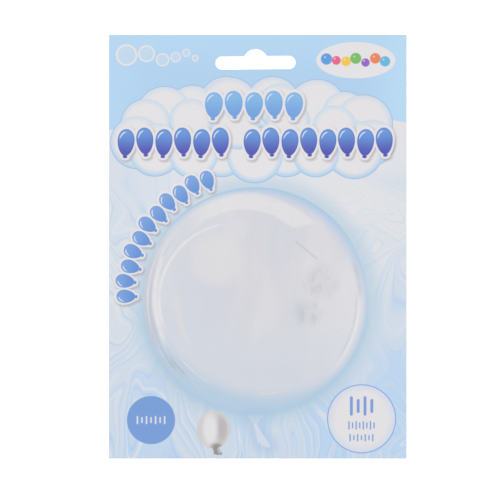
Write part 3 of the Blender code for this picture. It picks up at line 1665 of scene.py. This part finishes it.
@dataclass(frozen=True)
class SlotPunch:
    """The rounded-bar hang slot with a hump, punched through a panel."""

    middle: Spot
    length: float = 0.0321
    bar: float = 0.0055
    rise: float = 0.00277
    hump: float = 0.0049
    fillet: float = 0.0008
    tilt: float = math.radians(0.55)
    steps: int = 14
    prism_foot: float = -0.002
    prism_height: float = 0.01

    def arc(self, middle: Spot, radius: float, start: float, end: float) -> list[Spot]:
        """Points along an arc.

        Args:
            middle: The arc's middle.
            radius: Its radius.
            start: Where it starts, in radians.
            end: Where it ends.

        Returns:
            Points from start to end, both included.
        """
        turns = [start + (end - start) * step / self.steps for step in range(self.steps + 1)]
        return [moved(middle, (radius * math.cos(turn), radius * math.sin(turn))) for turn in turns]

    def outline(self) -> list[Spot]:
        """The slot's outline about the middle of its bar.

        Returns:
            Points in order, anticlockwise.
        """
        half = self.bar / 2
        end = self.length / 2 - half
        hump_y = half + self.rise - self.hump
        fillet_y = half + self.fillet
        drop = fillet_y - hump_y
        fillet_x = math.sqrt((self.hump + self.fillet) ** 2 - drop ** 2)
        lean = math.atan2(drop, fillet_x)
        quarter = math.pi / 2
        points = self.arc((end, 0.0), half, -quarter, quarter)
        points += self.arc((fillet_x, fillet_y), self.fillet, -quarter, -math.pi + lean)
        points += self.arc((0.0, hump_y), self.hump, lean, math.pi - lean)[1:-1]
        points += self.arc((-fillet_x, fillet_y), self.fillet, -lean, -quarter)
        points += self.arc((-end, 0.0), half, quarter, 3 * quarter)
        return points

    def cutter(self, slip: Spot) -> bpy.types.Object:
        """A prism of the outline.

        Args:
            slip: How far it sits from the slot's own place.

        Returns:
            The prism, selected and active.
        """
        outline = self.outline()
        deselect()
        bpy.ops.mesh.primitive_circle_add(vertices=len(outline), radius=self.length, fill_type="NGON")
        prism = bpy.context.object
        middle = moved(self.middle, slip)
        across, up = math.cos(self.tilt), math.sin(self.tilt)
        turned = [moved(middle, (x * across - y * up, x * up + y * across)) for x, y in outline]
        write_points(prism.data, np.array([(*spot, self.prism_foot) for spot in turned]))
        bpy.ops.object.mode_set(mode="EDIT")
        bpy.ops.mesh.select_all(action="SELECT")
        extrude_up(self.prism_height)
        face_outwards()
        return prism

    def punch(self, panel: bpy.types.Object, slip: Spot = (0.0, 0.0)) -> None:
        """Cut the slot through a panel.

        Args:
            panel: The panel's object.
            slip: How far the cut sits from the slot's own place.
        """
        prism = self.cutter(slip)
        make_active(panel)
        cut = panel.modifiers.new("slot", "BOOLEAN")
        cut.operation = "DIFFERENCE"
        cut.solver = "EXACT"
        cut.object = prism
        bpy.ops.object.modifier_apply(modifier=cut.name)
        bpy.data.objects.remove(prism)


class Side(Enum):
    """Which way a panel's print faces."""

    FRONT = 1
    BACK = -1


class Region(Enum):
    """Where a face of a panel lies on its bake map."""

    PRINT = "print"
    HIDDEN = "hidden"
    LEFT = "left"
    RIGHT = "right"
    FOOT = "foot"
    HEAD = "head"
    INNER = "inner"


@dataclass(frozen=True)
class BakeMap:
    """Layout of a panel's bake map: the print fills it, and all the rest shares a margin."""

    print_start: float = 0.03
    print_span: float = 0.965
    strip_start: float = 0.05
    strip_span: float = 0.9
    hidden_start: float = 0.002
    hidden_span: float = 0.008
    near_wall: float = 0.012
    far_wall: float = 0.018
    wall_span: float = 0.004
    inner_start: float = 0.003
    inner_span: float = 0.005

    def places(
        self, wide: np.ndarray, tall: np.ndarray, depth: np.ndarray, turn: np.ndarray
    ) -> dict[Region, np.ndarray]:
        """Places on the map of every vertex, as it would lie in each region.

        Args:
            wide: Share of the panel's width for each vertex.
            tall: Share of its height.
            depth: Share of its thickness.
            turn: Share of a turn round the hang slot.

        Returns:
            Rows of places by region.
        """
        printed = tuple(self.print_start + self.print_span * part for part in (wide, tall))
        across, along, round_slot = (self.strip_start + self.strip_span * part for part in (wide, tall, turn))
        near, far = (start + self.wall_span * depth for start in (self.near_wall, self.far_wall))
        pairs = {
            Region.PRINT: printed,
            Region.HIDDEN: (self.hidden_start + self.hidden_span * wide, along),
            Region.LEFT: (near, along),
            Region.RIGHT: (far, along),
            Region.FOOT: (across, near),
            Region.HEAD: (across, far),
            Region.INNER: (round_slot, self.inner_start + self.inner_span * depth),
        }
        return {region: np.column_stack(pair) for region, pair in pairs.items()}


@dataclass(frozen=True)
class Panel:
    """A flat slab of stock with one finely divided face and a cut edge."""

    name: str
    side: Side
    size: PacketSize
    low: float
    high: float
    cell: float
    bevel: float = 0.00007
    bevel_steps: int = 2
    touch: float = 1e-6
    near_edge: float = 0.0002
    steep: float = 0.5
    smooth_angle: float = math.radians(35.0)

    def print_level(self) -> float:
        """Height of the printed face while the slab is plain."""
        return self.high if self.side is Side.FRONT else self.low

    def face_level(self, x: float) -> float:
        """Height of the printed face at a place across the formed panel."""
        return self.print_level()

    def form_face(self, piece: bpy.types.Object) -> None:
        """Shape the printed face while it is still flat; plain here."""

    def build(self, punch: SlotPunch) -> bpy.types.Object:
        """Model the panel; each kind of panel does this its own way."""
        raise NotImplementedError

    def slab(self) -> bpy.types.Object:
        """Model the slab from a grid, walls and one plain face.

        Returns:
            The slab with its face formed and its rim eased.
        """
        across = round(self.size.width / self.cell)
        along = round(self.size.height / self.cell)
        deselect()
        bpy.ops.mesh.primitive_grid_add(x_subdivisions=across, y_subdivisions=along, size=1.0)
        piece = bpy.context.object
        piece.name = self.name
        piece.data.name = self.name
        points = read_points(piece.data) * (self.size.width, self.size.height, 0.0)
        points[:, 2] = self.print_level()
        write_points(piece.data, points)
        select_where(piece, Element.EDGE, lambda edge: edge.is_boundary)
        extrude_up((self.low - self.high) * self.side.value)
        bpy.ops.mesh.edge_face_add()
        face_outwards()
        self.form_face(piece)
        self.ease_rim(piece)
        return piece

    def ease_rim(self, piece: bpy.types.Object) -> None:
        """Round the printed face's outer edge.

        Args:
            piece: The slab, active.
        """
        half = (self.size.width / 2, self.size.height / 2)

        def on_rim(edge: bmesh.types.BMEdge) -> bool:
            """Whether an edge runs along the printed face's outer edge.

            Args:
                edge: An edge of the slab.

            Returns:
                True where it does.
            """
            ends = [vert.co for vert in edge.verts]
            middle = (ends[0].x + ends[1].x) / 2
            level = all(abs(end.z - self.face_level(middle)) < self.touch for end in ends)
            aside = all(abs(abs(end.x) - half[0]) < self.touch for end in ends)
            ahead = all(abs(abs(end.y) - half[1]) < self.touch for end in ends)
            return level and (aside or ahead)

        select_where(piece, Element.EDGE, on_rim)
        bpy.ops.mesh.bevel(offset=self.bevel, segments=self.bevel_steps, affect="EDGES")
        bpy.ops.object.mode_set(mode="OBJECT")

    def region(self, polygon: bpy.types.MeshPolygon) -> Region:
        """Where a face lies on the bake map.

        Args:
            polygon: A face of the finished panel.

        Returns:
            The face's region.
        """
        facing = polygon.normal.z * self.side.value
        x, y, _ = polygon.center
        if facing > self.steep:
            return Region.PRINT
        if facing < -self.steep:
            return Region.HIDDEN
        if abs(abs(x) - self.size.width / 2) < self.near_edge:
            return Region.LEFT if x < 0 else Region.RIGHT
        if abs(abs(y) - self.size.height / 2) < self.near_edge:
            return Region.FOOT if y < 0 else Region.HEAD
        return Region.INNER

    def map_print(self, piece: bpy.types.Object) -> None:
        """Lay the bake map over a finished panel.

        Args:
            piece: The panel's object.
        """
        mesh = piece.data
        layer = mesh.uv_layers.new(name=BAKE_MAP, do_init=False)
        x, y, z = read_points(mesh).T
        slot_x, slot_y = self.size.slot_middle
        turn = np.arctan2(y - slot_y, x - slot_x) / math.tau + 0.5
        shares = (x / self.size.width + 0.5, y / self.size.height + 0.5)
        places = BakeMap().places(*shares, (z - self.low) / (self.high - self.low), turn)
        for polygon in mesh.polygons:
            rows = places[self.region(polygon)]
            for loop in polygon.loop_indices:
                layer.data[loop].uv = rows[mesh.loops[loop].vertex_index]

    def dress(self, piece: bpy.types.Object, skin: bpy.types.Material, core: bpy.types.Material) -> None:
        """Give the panel its print, and its upright faces the cut edge.

        Args:
            piece: The panel's object.
            skin: The print.
            core: The cut edge.
        """
        mesh = piece.data
        for material in (skin, core):
            mesh.materials.append(material)
        core_index = len(mesh.materials) - 1
        for polygon in mesh.polygons:
            polygon.material_index = core_index if abs(polygon.normal.z) < self.steep else 0

    def make(self, punch: SlotPunch, skin: bpy.types.Material, core: bpy.types.Material) -> bpy.types.Object:
        """Build and dress the panel and hand it to the frame.

        Args:
            punch: The hang slot's punch.
            skin: The print.
            core: The cut edge.

        Returns:
            The finished piece.
        """
        piece = self.build(punch)
        self.dress(piece, skin, core)
        self.map_print(piece)
        make_active(piece)
        bpy.ops.object.shade_smooth_by_angle(angle=self.smooth_angle)
        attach(piece, "root")
        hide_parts("packet")
        return piece


@dataclass(frozen=True)
class Fold:
    """A straight fold of the balloon inside, in metres on the front."""

    slope: float
    level: float
    half: float


@dataclass(frozen=True)
class FrontPanel(Panel):
    """The printed front, swelling over the folded balloon."""

    fold_height: float = 0.00011
    folds: tuple[Fold, ...] = (
        Fold(0.10, -0.012, 0.0035),
        Fold(-0.06, -0.047, 0.003),
        Fold(1.9, 0.012, 0.004),
    )
    wave_across: Spot = (95.0, 1.3)
    wave_along: Spot = (61.0, 0.4)
    wave_share: float = 0.5
    sink_share: float = 1.6

    def relief(self, x: np.ndarray, y: np.ndarray) -> np.ndarray:
        """Faint ridges where the folded film presses through, and soft waves.

        Args:
            x: Places across the panel.
            y: Places along it.

        Returns:
            How far each place sinks below the swell, as numbers of 0 or less.
        """
        swollen = self.size.swell(x, y) / (self.size.thickness - self.size.edge)
        ridges = np.zeros_like(x)
        for fold in self.folds:
            away = (y - fold.slope * x - fold.level) / math.sqrt(1 + fold.slope * fold.slope)
            ridges += np.exp(-((away / fold.half) ** 2))
        turn_across, start_across = self.wave_across
        turn_along, start_along = self.wave_along
        waves = np.sin(x * turn_across + start_across) * np.sin(y * turn_along + start_along)
        lift = self.fold_height * (ridges + self.wave_share * waves - self.sink_share)
        return np.minimum(lift, 0.0) * swollen

    def build(self, punch: SlotPunch) -> bpy.types.Object:
        """Model the front panel: a slab, the slot, then the swell.

        Args:
            punch: The hang slot's punch.

        Returns:
            The panel's object.
        """
        piece = self.slab()
        punch.punch(piece)
        points = read_points(piece.data)
        x, y, z = points.T
        upper_half = z > (self.low + self.high) / 2
        points[:, 2] += (self.size.swell(x, y) + self.relief(x, y)) * upper_half
        write_points(piece.data, points)
        return piece


@dataclass(frozen=True)
class BackPanel(Panel):
    """The flat back: one half laps over the other, and the slot sits a little off the front's."""

    slot_slip: Spot = (0.00008, 0.00012)

    def face_level(self, x: float) -> float:
        """The lapping half lies lower than the other."""
        return 0.0 if x < self.size.lap_place else self.low

    def form_face(self, piece: bpy.types.Object) -> None:
        """Push the lapping half out by one thickness of stock.

        Args:
            piece: The slab, active.
        """
        def lapping(face: bmesh.types.BMFace) -> bool:
            """Whether a face of the print lies on the lapping half.

            Args:
                face: A face of the slab.

            Returns:
                True where it does.
            """
            middle = face.calc_center_median()
            printed = abs(middle.z - self.low) < self.touch and face.normal.z < -self.steep
            return printed and middle.x < self.size.lap_place

        select_where(piece, Element.FACE, lapping)
        extrude_up(-self.low)
        bpy.ops.object.mode_set(mode="OBJECT")

    def build(self, punch: SlotPunch) -> bpy.types.Object:
        """Model the back panel: a slab with its lap, then the slot.

        Args:
            punch: The hang slot's punch.

        Returns:
            The panel's object.
        """
        piece = self.slab()
        punch.punch(piece, self.slot_slip)
        return piece


@dataclass(frozen=True)
class Lamp:
    """One square soft light that points at the packet."""

    name: str
    place: tuple[float, float, float]
    size: float
    power: float

    def hang(self) -> None:
        """Put the light in the scene."""
        lamp = bpy.data.lights.new(self.name, "AREA")
        lamp.shape = "SQUARE"
        lamp.size = self.size
        lamp.energy = self.power
        holder = bpy.data.objects.new(self.name, lamp)
        bpy.context.scene.collection.objects.link(holder)
        holder.location = self.place
        holder.rotation_euler = (-holder.location).to_track_quat("-Z", "Y").to_euler()


@dataclass(frozen=True)
class Studio:
    """A white floor, soft lights and a camera straight above."""

    frame_width: float = 0.1984
    look_at: Spot = (-0.00305, -0.00135)
    distance: float = 1.3
    sensor: float = 36.0
    farthest: float = 20.0
    world_strength: float = 0.72
    lamps: tuple[Lamp, ...] = (
        Lamp("key", (-0.55, 0.5, 0.95), 0.9, 4.4),
        Lamp("fill", (0.6, -0.2, 0.9), 0.9, 2.4),
    )
    floor_size: float = 6.0
    floor_level: float = -0.00003
    floor_dark: tuple[float, ...] = (0.975, 0.975, 0.98, 1.0)
    floor_light: tuple[float, ...] = (0.99, 0.99, 0.99, 1.0)
    floor_tone: Noise = Noise(3.0)
    floor_roughness: float = 0.8
    floor_specular: float = 0.1
    floor_glow: float = 0.2

    def floor(self) -> None:
        """A wide pale floor with a faint tone and glow of its own."""
        deselect()
        bpy.ops.mesh.primitive_plane_add(size=self.floor_size, location=(0.0, 0.0, self.floor_level))
        ground = bpy.context.object
        ground.name = "floor"
        tree = ShaderTree("floor_white")
        tone = self.floor_tone.over(tree, tree.object_point())
        tree.dress({
            "Base Color": tree.blend(self.floor_dark, self.floor_light, tone),
            "Roughness": self.floor_roughness,
            "Specular IOR Level": self.floor_specular,
            "Emission Color": (1.0, 1.0, 1.0, 1.0),
            "Emission Strength": self.floor_glow,
        })
        ground.data.materials.append(tree.material)

    def light(self) -> None:
        """A white world and large soft lights."""
        world = bpy.data.worlds.new("studio")
        bpy.context.scene.world = world
        world.use_nodes = True
        back = world.node_tree.nodes["Background"]
        back.inputs["Color"].default_value = (1.0, 1.0, 1.0, 1.0)
        back.inputs["Strength"].default_value = self.world_strength
        for lamp in self.lamps:
            lamp.hang()

    def camera(self) -> None:
        """A long lens looking straight down at the packet."""
        lens = bpy.data.cameras.new("camera")
        lens.sensor_width = self.sensor
        lens.lens = self.sensor * self.distance / self.frame_width
        lens.clip_end = self.farthest
        holder = bpy.data.objects.new("camera", lens)
        bpy.context.scene.collection.objects.link(holder)
        holder.location = (*self.look_at, self.distance)
        bpy.context.scene.camera = holder

    def build(self) -> None:
        """Set the stage."""
        self.camera()
        self.floor()
        self.light()
        bpy.context.scene.view_settings.view_transform = "Standard"


def main() -> None:
    """Build the studio and the packet's pieces in order."""
    logging.basicConfig(level=logging.INFO, format="%(name)s: %(message)s")
    Studio().build()
    size = PacketSize.from_frame()
    punch = SlotPunch(size.slot_middle)
    core = CutEdge().material()
    front = FrontPanel("front_panel", Side.FRONT, size, low=size.seam, high=size.edge, cell=0.0008)
    back_top = size.seam - size.seam_gap
    back = BackPanel("back_panel", Side.BACK, size, low=size.lap, high=back_top, cell=0.004)
    for panel, skin in ((front, FrontPrint().material()), (back, BackPrint().material())):
        piece = panel.make(punch, skin, core)
        log.info("%s: %d faces", piece.name, len(piece.data.polygons))


if __name__ == "__main__":
    main()
